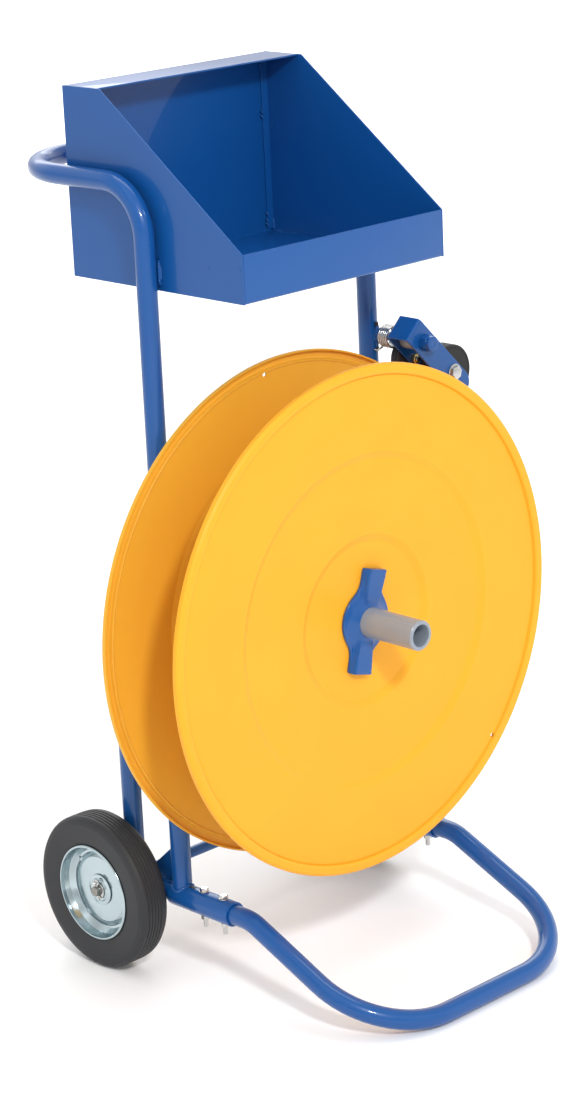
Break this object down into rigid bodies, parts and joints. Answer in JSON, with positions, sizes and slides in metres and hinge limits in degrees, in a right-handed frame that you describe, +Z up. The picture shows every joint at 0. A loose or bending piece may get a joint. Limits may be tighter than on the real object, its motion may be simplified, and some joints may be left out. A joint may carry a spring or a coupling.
{
  "type": "strapping dispenser cart",
  "caption": "Hand cart with a bent-tube frame, an open tool tray, a dished coil reel on a spindle, a sprung brake arm with a guide roller, a foot loop and a wheel on each side.",
  "frame": {"origin": "on the floor, under the middle of the bounding box", "axes": "+Z up, -Y to the front, where the reel and the tray's open side face, +X to the side with the brake arm"},
  "size_m": [0.648, 0.6364, 1.124],
  "materials": {
    "blue_paint": "glossy powder coat",
    "yellow_paint": "satin powder coat",
    "zinc": "bright zinc plate",
    "bare_steel": "bare drawn steel",
    "tyre_rubber": "moulded rubber",
    "black_rubber": "matte rubber",
    "nylon": "natural nylon",
    "brass": "yellow passivated plating"
  },
  "bodies": {
    "frame": {"handle_frame": "blue_paint", "foot_loop": "blue_paint", "left_sleeve": "blue_paint", "left_side_loop": "blue_paint", "left_gusset": "blue_paint", "left_axle_bracket": "blue_paint", "left_cross_tube": "blue_paint", "left_foot_bolt_1": "zinc", "left_foot_bolt_2": "zinc", "left_foot_nut_1": "zinc", "left_foot_nut_2": "zinc", "tray_left_side": "blue_paint", "tray_left_pad": "blue_paint", "left_washer": "zinc", "left_cotter_pin": "zinc", "right_sleeve": "blue_paint", "right_side_loop": "blue_paint", "right_gusset": "blue_paint", "right_axle_bracket": "blue_paint", "right_cross_tube": "blue_paint", "right_foot_bolt_1": "zinc", "right_foot_bolt_2": "zinc", "right_foot_nut_1": "zinc", "right_foot_nut_2": "zinc", "tray_right_side": "blue_paint", "tray_right_pad": "blue_paint", "right_washer": "zinc", "right_cotter_pin": "zinc", "axle": "bare_steel", "spindle_housing": "blue_paint", "front_bush": "nylon", "rear_bush": "nylon", "tray_shell": "blue_paint", "brake_boss": "blue_paint", "brake_pivot_bolt": "blue_paint", "spring_pin": "bare_steel", "brake_spring": "zinc"},
    "left_wheel": {"left_tyre": "tyre_rubber", "left_rim": "zinc", "left_hub": "bare_steel"},
    "right_wheel": {"right_tyre": "tyre_rubber", "right_rim": "zinc", "right_hub": "bare_steel"},
    "reel": {"spindle": "bare_steel", "back_disc": "yellow_paint", "hub_flange": "bare_steel", "spindle_collar": "bare_steel", "core_post_1": "yellow_paint", "core_post_2": "yellow_paint", "core_post_3": "yellow_paint"},
    "front_disc": {"front_disc": "yellow_paint"},
    "wing_nut": {"wing_nut": "blue_paint"},
    "brake_arm": {"brake_yoke": "blue_paint", "pivot_sleeve": "bare_steel", "brake_wheel": "black_rubber", "brake_wheel_bolt": "zinc", "brake_wheel_nut": "brass", "guide_roller_bolt": "zinc", "guide_roller_nut": "zinc"},
    "guide_roller": {"guide_roller": "black_rubber"}
  },
  "joints": [
    {"name": "left_wheel_spin", "type": "hinge", "parent": "frame", "child": "left_wheel", "pos_m": [-0.22575, 0.1495, 0.1016], "axis": [1, 0, 0], "continuous": true},
    {"name": "right_wheel_spin", "type": "hinge", "parent": "frame", "child": "right_wheel", "pos_m": [0.22575, 0.1495, 0.1016], "axis": [1, 0, 0], "continuous": true},
    {"name": "reel_spin", "type": "hinge", "parent": "frame", "child": "reel", "pos_m": [0, 0.0415, 0.46], "axis": [0, 1, 0], "continuous": true},
    {"name": "front_disc_slide", "type": "slide", "parent": "reel", "child": "front_disc", "axis": [0, -1, 0], "range_m": [0, 0.05]},
    {"name": "wing_nut_turn", "type": "hinge", "parent": "front_disc", "child": "wing_nut", "pos_m": [0, -0.1225, 0.46], "axis": [0, 1, 0], "continuous": true},
    {"name": "brake_arm_pivot", "type": "hinge", "parent": "frame", "child": "brake_arm", "pos_m": [0.196, -0.0305, 0.76672], "axis": [0, -1, 0], "range_deg": [0, 35], "stiffness_Nm_per_rad": 3, "springref_deg": -22.92},
    {"name": "guide_roller_spin", "type": "hinge", "parent": "brake_arm", "child": "guide_roller", "pos_m": [0.24966, -0.0305, 0.71711], "axis": [0, 1, 0], "continuous": true}
  ]
}
